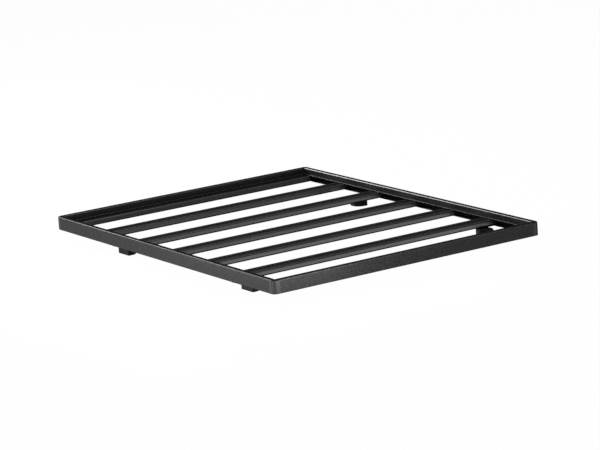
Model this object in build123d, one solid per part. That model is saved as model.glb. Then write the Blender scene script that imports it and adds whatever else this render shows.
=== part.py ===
from build123d import *
import os

os.makedirs("parts", exist_ok=True)

# Overall sizes, in millimetres
rack_length = 1355.0
rack_width = 1020.0
rail_height = 45.0
foot_height = 31.5

# Perimeter rail extrusion
rail_reach = 24.0
box_width = 17.5
outer_wall = 3.0
box_wall = 2.5
lip_reach = 17.0
lip_thickness = 2.0
ledge_thickness = 3.0
rail_edge_radius = 4.5
rail_base_chamfer = 1.0
ledge_edge_radius = 1.2
lip_edge_chamfer = 0.6

# Corner castings, which plug into the hollow box of both rails
corner_radius = 16.0
spigot_length = 36.0
spigot_fit = 0.3
spigot_lead = 3.0

# Slats across the rack
slat_count = 7
slat_width = 56.0
slat_height = 19.4
slat_nose_radius = 5.0
slat_wall = 2.0
chamber_chamfer = 2.5
slat_fit = 0.3
slat_end_gap = 0.5
end_slat_gap = 4.5
slot_neck = 10.0
slot_width = 16.0
slot_depth = 5.5
slot_lip = 2.4
groove_width = 1.2
groove_depth = 0.6
groove_pitch = 3.5
groove_count = 3

# Feet, placed from the ends and the sides of the rack
foot_rear_inset = 392.5
foot_front_inset = 221.5
foot_rear_side_inset = 30.0
foot_front_side_inset = 41.0
foot_depth = 41.0
foot_length = 67.0
foot_inner_radius = 30.0
foot_outer_chamfer = 1.5
foot_shoulder = 9.0
flange_thickness = 3.0
flange_length = 24.0
flange_shift = 23.0
flange_side_inset = 6.0
flange_overlap = 12.0
flange_chamfer = 4.0
pad_thickness = 3.0
mount_hole_radius = 4.5
mount_hole_side_inset = 53.0
mount_hole_shift = 15.0
head_pocket_radius = 8.0
head_pocket_floor = 15.0

# Heights and places that follow from the sizes above
half_length = rack_length / 2
half_width = rack_width / 2
slat_base = foot_height + lip_thickness
channel_top = lip_thickness + slat_height + slat_fit
ledge_top = channel_top + ledge_thickness
hollow_width = box_width - 2 * box_wall
hollow_height = rail_height - box_wall - ledge_top
slat_reach = half_width - outer_wall - slat_end_gap
end_slat_reach = half_width - rail_reach - slat_end_gap
end_slat_y = half_length - outer_wall - end_slat_gap - slat_width / 2
slat_pitch = 2 * end_slat_y / (slat_count - 1)
mount_hole_x = half_width - mount_hole_side_inset
foot_rear_x = half_width - foot_rear_side_inset
foot_front_x = half_width - foot_front_side_inset
foot_rear_y = half_length - foot_rear_inset
foot_front_y = foot_front_inset - half_length


def span(u0, u1, v0, v1):
    return Pos((u0 + u1) / 2, (v0 + v1) / 2) * Rectangle(u1 - u0, v1 - v0)


def nearest(section, corners):
    return [section.vertices().sort_by_distance((u, v, 0))[0] for u, v in corners]


def rail_section():
    section = span(0, lip_reach, 0, lip_thickness)
    section += span(0, outer_wall, lip_thickness, channel_top)
    section += span(0, rail_reach, channel_top, ledge_top)
    section += span(0, box_width, ledge_top, rail_height)
    crown = [(0, rail_height), (box_width, rail_height)]
    section = fillet(nearest(section, crown), rail_edge_radius)
    ledge = [(rail_reach, ledge_top), (rail_reach, channel_top)]
    section = fillet(nearest(section, ledge), ledge_edge_radius)
    lip = [(lip_reach, 0), (lip_reach, lip_thickness)]
    section = chamfer(nearest(section, lip), lip_edge_chamfer)
    section = chamfer(nearest(section, [(0, 0)]), rail_base_chamfer)
    hollow = Rectangle(hollow_width, hollow_height)
    return section - Pos(box_width / 2, ledge_top + hollow_height / 2) * hollow


def side_rail():
    run = rack_length - 2 * rail_reach
    start = Plane(origin=(-half_width, run / 2, foot_height), x_dir=(1, 0, 0), z_dir=(0, -1, 0))
    return extrude(start * rail_section(), run)


def end_rail():
    run = rack_width - 2 * rail_reach
    start = Plane(origin=(-run / 2, -half_length, foot_height), x_dir=(0, 1, 0), z_dir=(1, 0, 0))
    return extrude(start * rail_section(), run)


def spigot():
    width = hollow_width - 2 * spigot_fit
    height = hollow_height - 2 * spigot_fit
    tongue = Box(spigot_length, width, height, align=(Align.MIN, Align.CENTER, Align.CENTER))
    tip = tongue.faces().sort_by(Axis.X)[-1]
    tongue = chamfer(tip.edges(), spigot_lead)
    return Pos(rail_reach, box_width / 2, ledge_top + hollow_height / 2) * tongue


def corner():
    low = (Align.MIN, Align.MIN, Align.MIN)
    inner = rail_reach - box_width
    body = Box(rail_reach, rail_reach, rail_height, align=low)
    body -= Pos(box_width, box_width, ledge_top) * Box(inner, inner, rail_height, align=low)
    post = body.edges().filter_by(Axis.Z).sort_by_distance((0, 0, rail_height / 2))[0]
    body = fillet(post, corner_radius)
    rim = [edge for edge in body.faces().sort_by(Axis.Z)[-1].edges() if not meets_rail(edge)]
    body = fillet(rim, rail_edge_radius)
    sole = [edge for edge in body.faces().sort_by(Axis.Z)[0].edges() if not meets_rail(edge)]
    body = chamfer(sole, rail_base_chamfer)
    body += spigot()
    body += mirror(spigot(), Plane(origin=(0, 0, 0), z_dir=(1, -1, 0)))
    return Pos(-half_width, -half_length, foot_height) * body


def meets_rail(edge):
    middle = edge.center()
    return max(middle.X, middle.Y) > rail_reach - rail_base_chamfer / 2


def slat_section():
    half = slat_height / 2
    inner = slot_width / 2 + slat_wall
    outer = slat_width / 2 - slat_wall
    chamber = Rectangle(outer - inner, slat_height - 2 * slat_wall)
    chamber = chamfer(chamber.vertices(), chamber_chamfer)
    section = RectangleRounded(slat_width, slat_height, slat_nose_radius)
    for side in (1, -1):
        section -= Pos(0, side * (half - slot_lip / 2)) * Rectangle(slot_neck, slot_lip)
        section -= Pos(0, side * (half - slot_lip - slot_depth / 2)) * Rectangle(slot_width, slot_depth)
        section -= Pos(side * (inner + outer) / 2, 0) * chamber
        for row in range(groove_count):
            across = side * (slot_width / 2 + groove_pitch * (row + 0.5))
            section -= Pos(across, half - groove_depth / 2) * Rectangle(groove_width, groove_depth)
    return section


def slat(y, reach):
    middle = slat_base + slat_height / 2
    start = Plane(origin=(-reach, y, middle), x_dir=(0, 1, 0), z_dir=(1, 0, 0))
    return extrude(start * slat_section(), 2 * reach)


def foot_plan(outer_x, y):
    inner_x = foot_depth - outer_x
    front = y - foot_length / 2
    rear = y + foot_length / 2
    plan = span(-outer_x, inner_x, front, rear)
    plan = fillet(nearest(plan, [(inner_x, front), (inner_x, rear)]), foot_inner_radius)
    return chamfer(nearest(plan, [(-outer_x, front), (-outer_x, rear)]), foot_outer_chamfer)


def foot_side(outer_x, y):
    half = foot_length / 2
    shoulder = foot_height - foot_shoulder
    side = Polygon(
        (-half, 0),
        (half, 0),
        (half, shoulder),
        (half - foot_shoulder, foot_height),
        (-half + foot_shoulder, foot_height),
        (-half, shoulder),
        align=None,
    )
    view = Plane(origin=(-outer_x, y, 0), x_dir=(0, 1, 0), z_dir=(1, 0, 0))
    return extrude(view * side, foot_depth)


def foot_flange(outer_x, y):
    outer = half_width - flange_side_inset
    inner = outer_x - flange_overlap
    front = y + flange_shift - flange_length / 2
    rear = front + flange_length
    plate = span(-outer, -inner, front, rear)
    plate = chamfer(nearest(plate, [(-outer, front), (-outer, rear), (-inner, rear)]), flange_chamfer)
    return Pos(0, 0, foot_height - flange_thickness) * extrude(plate, flange_thickness)


def mount_hole(y, radius, low, high):
    place = Pos(-mount_hole_x, y - mount_hole_shift, (low + high) / 2)
    return place * Cylinder(radius, high - low)


def foot_bracket(outer_x, y):
    block = Pos(0, 0, pad_thickness) * extrude(foot_plan(outer_x, y), foot_height - pad_thickness)
    bracket = (block & foot_side(outer_x, y)) + foot_flange(outer_x, y)
    bracket -= mount_hole(y, mount_hole_radius, 0, foot_height)
    return bracket - mount_hole(y, head_pocket_radius, head_pocket_floor, foot_height)


def foot_pad(outer_x, y):
    return extrude(foot_plan(outer_x, y), pad_thickness) - mount_hole(y, mount_hole_radius, 0, pad_thickness)


def save(shape, name):
    export_step(shape, f"parts/{name}.step")


left_rail = side_rail()
save(left_rail, "side_rail_left")
save(mirror(left_rail, Plane.YZ), "side_rail_right")

front_rail = end_rail()
save(front_rail, "end_rail_front")
save(mirror(front_rail, Plane.XZ), "end_rail_rear")

front_corner = corner()
rear_corner = mirror(front_corner, Plane.XZ)
save(front_corner, "corner_front_left")
save(mirror(front_corner, Plane.YZ), "corner_front_right")
save(rear_corner, "corner_rear_left")
save(mirror(rear_corner, Plane.YZ), "corner_rear_right")

for index in range(slat_count):
    nested = index in (0, slat_count - 1)
    reach = end_slat_reach if nested else slat_reach
    save(slat(index * slat_pitch - end_slat_y, reach), f"slat_{index + 1}")

for end, outer_x, y in (("front", foot_front_x, foot_front_y), ("rear", foot_rear_x, foot_rear_y)):
    bracket = foot_bracket(outer_x, y)
    pad = foot_pad(outer_x, y)
    save(bracket, f"foot_bracket_{end}_left")
    save(mirror(bracket, Plane.YZ), f"foot_bracket_{end}_right")
    save(pad, f"foot_pad_{end}_left")
    save(mirror(pad, Plane.YZ), f"foot_pad_{end}_right")
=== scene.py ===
import math

import bpy
from mathutils import Matrix, Vector


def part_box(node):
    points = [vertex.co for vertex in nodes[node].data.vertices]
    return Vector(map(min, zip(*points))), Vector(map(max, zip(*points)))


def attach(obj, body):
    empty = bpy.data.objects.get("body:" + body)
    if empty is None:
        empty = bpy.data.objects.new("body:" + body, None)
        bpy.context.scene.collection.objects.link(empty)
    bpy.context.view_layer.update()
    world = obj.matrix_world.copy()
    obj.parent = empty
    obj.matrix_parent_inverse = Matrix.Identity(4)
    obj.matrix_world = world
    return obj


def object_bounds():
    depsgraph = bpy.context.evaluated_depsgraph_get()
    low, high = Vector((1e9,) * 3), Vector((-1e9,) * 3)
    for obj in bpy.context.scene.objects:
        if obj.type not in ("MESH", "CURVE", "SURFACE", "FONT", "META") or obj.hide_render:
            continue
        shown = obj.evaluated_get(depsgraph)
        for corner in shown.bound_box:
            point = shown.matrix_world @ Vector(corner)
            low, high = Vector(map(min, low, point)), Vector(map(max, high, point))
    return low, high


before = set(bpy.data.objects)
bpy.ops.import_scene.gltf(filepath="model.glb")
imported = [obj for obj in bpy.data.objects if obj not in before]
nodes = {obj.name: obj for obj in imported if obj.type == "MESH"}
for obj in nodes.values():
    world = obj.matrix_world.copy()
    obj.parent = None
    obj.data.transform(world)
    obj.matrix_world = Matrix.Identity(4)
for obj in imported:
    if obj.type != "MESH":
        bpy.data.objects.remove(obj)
cadLow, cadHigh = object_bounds()  # the CAD box
print("frame loaded:", len(nodes), "nodes")

leftLow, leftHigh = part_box("side_rail_left")
railTop = leftHigh.z
railBase = leftLow.z
halfWidth = cadHigh.x
halfLength = cadHigh.y


def clearSelection():
    if bpy.context.object and bpy.context.object.mode != "OBJECT":
        bpy.ops.object.mode_set(mode="OBJECT")
    bpy.ops.object.select_all(action="DESELECT")


# finishes


def emptyMaterial(name):
    material = bpy.data.materials.new(name)
    material.use_nodes = True
    tree = material.node_tree
    tree.nodes.clear()
    output = tree.nodes.new("ShaderNodeOutputMaterial")
    return material, tree, output


def addNode(tree, kind, **values):
    node = tree.nodes.new(kind)
    for key, value in values.items():
        node.inputs[key.replace("_", " ")].default_value = value
    return node


def objectNoise(tree, scale, detail, roughness=0.5):
    place = tree.nodes.new("ShaderNodeTexCoord")
    noise = addNode(tree, "ShaderNodeTexNoise", Scale=scale, Detail=detail, Roughness=roughness)
    tree.links.new(place.outputs["Object"], noise.inputs["Vector"])
    return noise.outputs["Fac"]


def rangeOf(tree, source, low, high, fromLow=0.3, fromHigh=0.7):
    span = addNode(tree, "ShaderNodeMapRange", From_Min=fromLow, From_Max=fromHigh, To_Min=low, To_Max=high)
    tree.links.new(source, span.inputs["Value"])
    return span.outputs["Result"]


def mixColour(tree, factor, dark, light):
    mix = tree.nodes.new("ShaderNodeMix")
    mix.data_type = "RGBA"
    tree.links.new(factor, mix.inputs["Factor"])
    mix.inputs[6].default_value = dark  # sockets 6 and 7 are the node's two colours
    mix.inputs[7].default_value = light
    return mix.outputs[2]


def addBump(tree, shader, height, strength, distance):
    bump = addNode(tree, "ShaderNodeBump", Strength=strength, Distance=distance)
    tree.links.new(height, bump.inputs["Height"])
    tree.links.new(bump.outputs["Normal"], shader.inputs["Normal"])


# black powder coat on the rails, corners, slats and feet

coatLook = {
    "grain": {"scale": 230.0, "detail": 3.0, "roughness": 0.6},  # fine change of colour
    "grainRange": (0.36, 0.66),
    "mottle": {"scale": 9.0, "detail": 9.0, "roughness": 0.75},  # slow change of gloss along a piece
    "peel": {"scale": 620.0, "detail": 3.0},  # orange peel
    "peelDepth": 0.00016,
}


def powderCoat(name, look, specular, roughness, peel=0.35, index=1.5):
    material, tree, output = emptyMaterial(name)
    shader = addNode(tree, "ShaderNodeBsdfPrincipled", Specular_IOR_Level=specular, IOR=index)
    grain = rangeOf(tree, objectNoise(tree, **coatLook["grain"]), 0.0, 1.0, *coatLook["grainRange"])
    tree.links.new(mixColour(tree, grain, look["dark"], look["light"]), shader.inputs["Base Color"])
    mottle = objectNoise(tree, **coatLook["mottle"])
    tree.links.new(rangeOf(tree, mottle, *roughness), shader.inputs["Roughness"])
    addBump(tree, shader, objectNoise(tree, **coatLook["peel"]), peel, coatLook["peelDepth"])
    tree.links.new(shader.outputs["BSDF"], output.inputs["Surface"])
    return material


# one black coat in lit and shaded copies, picked by where a facet faces: the shine of each copy is painted
# light, so upright sides and upper edges carry painted highlights and tops, undersides and the slats'
# channel carry painted shade

satin = (0.32, 0.42)  # least and most roughness
highlightGloss = (0.34, 0.40)
dull = (0.45, 0.55)
cast = (0.52, 0.64)
matt = (0.60, 0.70)
# per band, a specular of 0 paints shade and a high specular paints a highlight
railCoat = {
    "dark": (0.002, 0.002, 0.0022, 1),
    "light": (0.027, 0.027, 0.0275, 1),
    "side": {"specular": 0.20, "roughness": satin},
    "edge": {"specular": 0.25, "roughness": satin, "peel": 0.12},
    "rim": {"specular": 0.8, "roughness": highlightGloss, "peel": 0.04},
    "lip": {"specular": 0.28, "roughness": highlightGloss, "peel": 0.04},
    "ledge": {"specular": 0.22, "roughness": (0.40, 0.50), "peel": 0.1},
    "brow": {"specular": 0.0, "roughness": matt},
    "top": {"specular": 0.0, "roughness": dull, "peel": 0.2},
    "wall": {"specular": 0.10, "roughness": (0.34, 0.44)},
    "under": {"specular": 0.0, "roughness": (0.45, 0.60)},
}
# the slats' upright sides and upper edges shine far more than the rails': painted highlight; their tops
# barely shine: painted shade
slatCoat = {
    **railCoat,
    "side": {"specular": 0.85, "roughness": satin, "index": 1.6},
    "edge": {"specular": 0.9, "roughness": satin, "peel": 0.12},
    "brow": {"specular": 0.30, "roughness": dull},
    "top": {"specular": 0.05, "roughness": dull, "peel": 0.2},
}
coats = {
    "rail": railCoat,
    # the end rails' edges and inner walls and the corners' sides shine more than the side rails': painted
    # highlight
    "end": {
        **railCoat,
        "side": {"specular": 0.22, "roughness": satin},
        "edge": {"specular": 1.0, "roughness": satin, "peel": 0.12},
        "wall": {"specular": 0.25, "roughness": (0.45, 0.60)},
    },
    "corner": {**railCoat, "side": {"specular": 0.42, "roughness": satin}},
    "slat": slatCoat,
    # lit and shaded copies of the slat coat: painted highlight on the near slats, painted shade on the far
    # and nested slats
    "near": {**slatCoat, "side": {"specular": 1.0, "roughness": satin, "index": 1.68}},
    "far": {**slatCoat, "side": {"specular": 0.5, "roughness": satin, "index": 1.6}},
    "nested": {**slatCoat, "side": {"specular": 0.28, "roughness": satin}},
    # the feet: painted shade on their sides, tops and undersides, more shine on their faces along X as
    # painted light
    "foot": {
        "dark": (0.005, 0.005, 0.005, 1),
        "light": (0.009, 0.009, 0.009, 1),
        "face": {"specular": 0.16, "roughness": (0.45, 0.58)},
        "side": {"specular": 0.04, "roughness": cast},
        "edge": {"specular": 0.2, "roughness": cast},
        "brow": {"specular": 0.0, "roughness": matt},
        "top": {"specular": 0.08, "roughness": matt},
        "under": {"specular": 0.0, "roughness": matt},
    },
}

# painted shade and highlight on the slats: slats 1 and 7 get a dull copy of the coat, painted shade where
# the end rails that they lie in shade them; slats 2 and 3 get a shinier copy, painted highlight; and slat 6
# a duller one, painted shade towards the rear
slatLitAndShadedKinds = {"slat_1": "nested", "slat_2": "near", "slat_3": "near", "slat_6": "far", "slat_7": "nested"}

# a facet is in the first band whose limit its normal's upward share stays under
bandLimits = {"under": -0.04, "side": 0.12, "edge": 0.72, "brow": 0.995, "top": 2.0}
facetRules = {
    "wallTurn": 0.5,  # least that a rail's inner wall faces inwards
    "wornTurn": 0.43,  # and an inner edge that gets the painted highlight
    "cornerFlat": 0.985,  # least that a corner's flat sides face along X or Y
    "footFlat": 0.98,
    "overSlats": 0.001,  # from the slats' tops to a height inside the ledge's thickness
    "overLedge": 0.006,  # and on to one just above the ledge
}
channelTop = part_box("slat_3")[1].z + facetRules["overSlats"]
ledgeTop = channelTop + facetRules["overLedge"]


def railBand(face, inward):
    band = next(name for name, limit in bandLimits.items() if face.normal.z < limit)
    inside = face.normal.dot(inward)
    low = face.center.z < ledgeTop
    if band == "side" and inside > facetRules["wallTurn"]:
        return "under" if face.center.z < channelTop else "wall"  # painted shade: no shine in the slats' channel
    if band in ("edge", "brow") and inside > facetRules["wornTurn"] and inward.x:
        return "lip" if low else "rim"  # painted highlight: the side rails' inner edges get the shiniest copy of the coat
    # painted highlight: the tops of the side rails' ledges get some shine, the rails' other tops none
    if band == "top" and low and inward.x:
        return "ledge"
    return band


def bandOf(face, kind, nodeName, inward):
    band = railBand(face, inward)
    if band != "side":
        return band
    if kind == "corner" and nodeName != "corner_front_left":
        turned = max(abs(face.normal.x), abs(face.normal.y)) < facetRules["cornerFlat"]
        return "under" if turned else "side"  # painted shade: most of the round outer edges get no shine
    # painted light: the feet's faces along X get more shine than their other sides
    if kind == "foot" and abs(face.normal.x) > facetRules["footFlat"]:
        return "face"
    return band


def coatKind(nodeName):
    if nodeName in slatLitAndShadedKinds:
        return slatLitAndShadedKinds[nodeName]
    kind = nodeName.split("_")[0]
    return kind if kind in coats else "rail"


def middle(nodeName):
    low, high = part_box(nodeName)
    return (low + high) / 2


def inwardOf(nodeName):
    place = middle(nodeName)
    if nodeName.startswith("side"):
        return Vector((-math.copysign(1, place.x), 0, 0))
    if nodeName.startswith("end"):
        return Vector((0, -math.copysign(1, place.y), 0))
    return Vector((0, 0, 0))


coatOf = {}


def coatFor(kind, band):
    if (kind, band) not in coatOf:
        coatOf[kind, band] = powderCoat(kind + band.title(), coats[kind], **coats[kind][band])
    return coatOf[kind, band]


def coatNode(node, nodeName, kind):
    inward = inwardOf(nodeName)
    bands = [bandOf(face, kind, nodeName, inward) for face in node.data.polygons]
    used = sorted(set(bands))
    node.data.materials.clear()
    for band in used:
        node.data.materials.append(coatFor(kind, band))
    for face, band in zip(node.data.polygons, bands):
        face.material_index = used.index(band)


# rubber of the pads and black steel of the bolts

rubberLook = {
    "sockets": {"Specular_IOR_Level": 0.25},
    "dark": (0.009, 0.009, 0.009, 1),
    "light": (0.02, 0.02, 0.019, 1),
    "stain": {"scale": 60.0, "detail": 6.0, "roughness": 0.65},  # dust
    "roughness": (0.75, 0.92),
    "pits": {"scale": 900.0, "detail": 2.0},
    "pitStrength": 0.4,
    "pitDepth": 0.0002,
}
steelLook = {
    "sockets": {"Metallic": 0.9},
    "dark": (0.03, 0.03, 0.032, 1),
    "light": (0.075, 0.073, 0.07, 1),
    "stain": {"scale": 240.0, "detail": 5.0, "roughness": 0.6},  # smears of oil
    "roughness": (0.30, 0.48),
    "pits": {"scale": 1800.0, "detail": 2.0},
    "pitStrength": 0.25,
    "pitDepth": 0.0001,
}


def stainedFinish(name, look):
    material, tree, output = emptyMaterial(name)
    shader = addNode(tree, "ShaderNodeBsdfPrincipled", **look["sockets"])
    stain = objectNoise(tree, **look["stain"])
    colour = mixColour(tree, rangeOf(tree, stain, 0.0, 1.0), look["dark"], look["light"])
    tree.links.new(colour, shader.inputs["Base Color"])
    tree.links.new(rangeOf(tree, stain, *look["roughness"]), shader.inputs["Roughness"])
    addBump(tree, shader, objectNoise(tree, **look["pits"]), look["pitStrength"], look["pitDepth"])
    tree.links.new(shader.outputs["BSDF"], output.inputs["Surface"])
    return material


padRubber = stainedFinish("padRubber", rubberLook)
blackSteel = stainedFinish("blackSteel", steelLook)
for nodeName, node in nodes.items():
    if "pad" in nodeName:
        node.data.materials.clear()
        node.data.materials.append(padRubber)
    else:
        coatNode(node, nodeName, coatKind(nodeName))
print("finishes set:", len(coatOf) + 2)

# bolts under the rails: they hold the slats and the feet

boltSize = {
    "sides": 24,
    "headRadius": 0.0048,
    "headChamfer": 0.0002,
    "headRim": 0.0006,
    "headHeight": 0.0016,
    "crownRadius": 0.0030,
    "crownSteps": 4,
    "socketSides": 6,
    "socketRadius": 0.0020,
    "socketDepth": 0.0010,
    "smoothAngle": 35,
}
screwSize = {
    **boltSize,
    "headRadius": 0.0036,
    "headRim": 0.0004,
    "headHeight": 0.0014,
    "crownRadius": 0.0022,
    "socketRadius": 0.0014,
    "socketDepth": 0.0009,
}


def boltOutline(size):
    chamfer = size["headChamfer"]
    outline = [(size["headRadius"] - chamfer, 0.0), (size["headRadius"], chamfer)]
    reach = size["headRadius"] - size["crownRadius"]
    rise = size["headHeight"] - size["headRim"]
    for step in range(size["crownSteps"] + 1):
        turn = math.pi / 2 * step / size["crownSteps"]
        radius = size["crownRadius"] + reach * math.cos(turn)
        outline.append((radius, size["headRim"] + rise * math.sin(turn)))
    return outline


def modelBolt(name, size):
    outline = boltOutline(size)
    clearSelection()
    bpy.ops.mesh.primitive_circle_add(vertices=size["sides"], radius=outline[0][0], fill_type="NGON")
    bolt = bpy.context.object
    bolt.name = name
    bpy.ops.object.mode_set(mode="EDIT")
    bpy.ops.mesh.select_all(action="SELECT")
    for (radius, depth), (nextRadius, nextDepth) in zip(outline, outline[1:]):
        bpy.ops.mesh.extrude_region_move(TRANSFORM_OT_translate={"value": (0, 0, depth - nextDepth)})
        bpy.ops.transform.resize(value=(nextRadius / radius, nextRadius / radius, 1))
    bpy.ops.mesh.select_all(action="SELECT")
    bpy.ops.mesh.normals_make_consistent(inside=False)
    bpy.ops.object.mode_set(mode="OBJECT")
    cutSocket(bolt, size)
    clearSelection()
    bolt.select_set(True)
    bpy.context.view_layer.objects.active = bolt
    bpy.ops.object.shade_smooth_by_angle(angle=math.radians(size["smoothAngle"]))
    return bolt


def cutSocket(bolt, size):
    clearSelection()
    bpy.ops.mesh.primitive_cylinder_add(
        vertices=size["socketSides"],
        radius=size["socketRadius"],
        depth=2 * size["socketDepth"],  # half of it stands out of the head
        location=(0, 0, -size["headHeight"]),
    )
    key = bpy.context.object
    socket = bolt.modifiers.new("socket", "BOOLEAN")
    socket.operation = "DIFFERENCE"
    socket.solver = "EXACT"
    socket.object = key
    bpy.context.view_layer.objects.active = bolt
    bpy.ops.object.modifier_apply(modifier="socket")
    bpy.data.objects.remove(key)


seatPlan = {
    "lipMiddle": 0.0085,  # from a rail's outer face to the middle of its lower lip
    "endScrewInset": 0.012,
    "endScrewReach": 0.40,
    "tabInset": 0.013,  # foot bolts sit a little further in, clear of the tab's edge
    "tabThickness": 0.003,
    "tabShift": 0.023,
    "socketTurn": 0.77,  # from one bolt to the next, so that no two sockets stop alike
}


def setBolts(pattern, places, finish):
    for number, place in enumerate(places):
        clearSelection()
        pattern.select_set(True)
        bpy.context.view_layer.objects.active = pattern
        bpy.ops.object.duplicate()
        piece = bpy.context.object
        piece.name = f"{pattern.name}_{number + 1}"
        piece.location = place
        piece.rotation_euler.z = seatPlan["socketTurn"] * number
        bpy.ops.object.transform_apply(location=True, rotation=True, scale=True)
        piece.data.materials.clear()
        piece.data.materials.append(finish)
        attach(piece, "root")
    bpy.data.objects.remove(pattern)


lipAcross = halfWidth - seatPlan["lipMiddle"]
slatPlaces = []
for number in (3, 4, 5, 6):
    for side in (-1, 1):
        slatPlaces.append((side * lipAcross, middle(f"slat_{number}").y, railBase))

tabAcross = halfWidth - seatPlan["tabInset"]
tabBase = railBase - seatPlan["tabThickness"]
rearTab = middle("foot_pad_rear_left").y + seatPlan["tabShift"]
footPlaces = []
for side in (-1, 1):
    footPlaces.append((side * tabAcross, middle("slat_2").y, tabBase))  # the front tabs lie under slat 2
    footPlaces.append((side * tabAcross, rearTab, tabBase))

screwAlong = halfLength - seatPlan["endScrewInset"]
endPlaces = []
for end in (-1, 1):
    for across in (-1, 0, 1):
        endPlaces.append((across * seatPlan["endScrewReach"], end * screwAlong, railBase))

setBolts(modelBolt("slatBolt", boltSize), slatPlaces, blackSteel)
setBolts(modelBolt("footBolt", boltSize), footPlaces, blackSteel)
setBolts(modelBolt("endScrew", screwSize), endPlaces, blackSteel)
print("bolts set:", len(slatPlaces) + len(footPlaces) + len(endPlaces))

# stage: a white round floor with a low rim far off

stageSize = {"sides": 96, "radius": 30.0, "rim": 3.2, "drop": 0.0002}
stageLook = {"colour": (0.86, 0.86, 0.86, 1), "whiteShare": 0.98}


def stageMaterial():
    material, tree, output = emptyMaterial("stageWhite")
    rays = tree.nodes.new("ShaderNodeLightPath")
    seen = rays.outputs["Is Camera Ray"]
    for name in ("Is Glossy Ray", "Is Transmission Ray"):
        larger = tree.nodes.new("ShaderNodeMath")
        larger.operation = "MAXIMUM"
        tree.links.new(seen, larger.inputs[0])
        tree.links.new(rays.outputs[name], larger.inputs[1])
        seen = larger.outputs[0]
    share = tree.nodes.new("ShaderNodeMath")
    share.operation = "MULTIPLY"
    share.inputs[1].default_value = stageLook["whiteShare"]
    tree.links.new(seen, share.inputs[0])
    matte = addNode(tree, "ShaderNodeBsdfDiffuse", Color=stageLook["colour"])
    glow = addNode(tree, "ShaderNodeEmission", Color=(1, 1, 1, 1), Strength=1.0)
    mix = tree.nodes.new("ShaderNodeMixShader")
    tree.links.new(share.outputs[0], mix.inputs[0])
    tree.links.new(matte.outputs[0], mix.inputs[1])
    tree.links.new(glow.outputs[0], mix.inputs[2])
    tree.links.new(mix.outputs[0], output.inputs["Surface"])
    return material


clearSelection()
bpy.ops.mesh.primitive_circle_add(
    vertices=stageSize["sides"],
    radius=stageSize["radius"],
    fill_type="NGON",
    location=(0, 0, -stageSize["drop"]),
)
floor = bpy.context.object
floor.name = "stageFloor"
bpy.ops.object.mode_set(mode="EDIT")
bpy.ops.mesh.select_all(action="DESELECT")
bpy.ops.mesh.select_mode(type="EDGE")
bpy.ops.mesh.select_non_manifold()
bpy.ops.mesh.extrude_edges_move(TRANSFORM_OT_translate={"value": (0, 0, stageSize["rim"])})
bpy.ops.object.mode_set(mode="OBJECT")
floor.data.materials.append(stageMaterial())

# lamps and world: large boxes overhead and behind, and low strips that shine along the near and left sides

lamps = {
    "topBox": {
        "place": (0.2, 0.2, 3.2), "aim": (0, 0, 0.05),
        "size": (2.2, 2.2), "power": 60.0,
    },
    "backStrip": {
        "place": (-1.0, 3.5, 1.7), "aim": (0.3, 0, 0.05),
        "size": (2.0, 1.2), "power": 130.0,
    },
    "frontFill": {
        "place": (-1.5, -3.0, 2.6), "aim": (0, 0, 0.05),
        "size": (2.0, 2.0), "power": 25.0,
    },
    "lowKey": {
        "place": (-0.28, -1.05, 0.055), "aim": (-0.28, -0.5, 0.055),
        "size": (0.45, 0.09), "power": 1.8,
    },
    "sideKey": {
        "place": (-1.05, 0.10, 0.055), "aim": (-0.51, -0.5, 0.055),
        "size": (0.5, 0.09), "power": 1.7,
    },
    "cornerKey": {
        "place": (-1.2, -0.70, 0.06), "aim": (-0.5, -0.67, 0.055),
        "size": (0.6, 0.1), "power": 2.2,
    },
    "stripeKey": {
        "place": (-0.56, -1.05, 0.055), "aim": (-0.5, -0.67, 0.055),
        "size": (0.16, 0.09), "power": 0.35,
    },
}
for lampName, lamp in lamps.items():
    bpy.ops.object.light_add(type="AREA", location=lamp["place"])
    light = bpy.context.object
    light.name = lampName
    light.data.shape = "RECTANGLE"
    light.data.size, light.data.size_y = lamp["size"]
    light.data.energy = lamp["power"]
    aim = Vector(lamp["aim"]) - Vector(lamp["place"])
    light.rotation_euler = aim.to_track_quat("-Z", "Y").to_euler()
    light.visible_camera = False

worldLook = {"colour": (1, 1, 1, 1), "strength": 0.2}
world = bpy.data.worlds.new("studio")
bpy.context.scene.world = world
world.use_nodes = True
sky = world.node_tree.nodes["Background"]
sky.inputs["Color"].default_value = worldLook["colour"]
sky.inputs["Strength"].default_value = worldLook["strength"]
print("stage and lamps set")

# camera, as solved from the photograph's straight edges

cameraSetup = {
    "sensor": 36.0,
    "lens": 177.384,
    "distance": 9.761,
    "yaw": -32.693,
    "pitch": 12.666,
    "roll": -4.001,
    "right": 0.02917,  # how far the aim lies off the middle of the rails' top
    "up": -0.02300,
}


def placeCamera(setup):
    yaw, pitch, roll = (math.radians(setup[key]) for key in ("yaw", "pitch", "roll"))
    back = Vector((math.sin(yaw) * math.cos(pitch), -math.cos(yaw) * math.cos(pitch), math.sin(pitch)))
    right = (-back).cross(Vector((0, 0, 1))).normalized()
    up = right.cross(-back)
    place = right * setup["right"] + up * setup["up"] + back * setup["distance"]
    place.z += railTop
    turnedRight = right * math.cos(roll) + up * math.sin(roll)
    turnedUp = up * math.cos(roll) - right * math.sin(roll)
    turn = Matrix((turnedRight, turnedUp, back)).transposed().to_4x4()
    bpy.ops.object.camera_add()
    camera = bpy.context.object
    camera.matrix_world = Matrix.Translation(place) @ turn
    camera.data.sensor_fit = "HORIZONTAL"
    camera.data.sensor_width = setup["sensor"]
    camera.data.lens = setup["lens"]
    bpy.context.scene.camera = camera


placeCamera(cameraSetup)
bpy.context.scene.view_settings.view_transform = "Standard"
print("camera set")
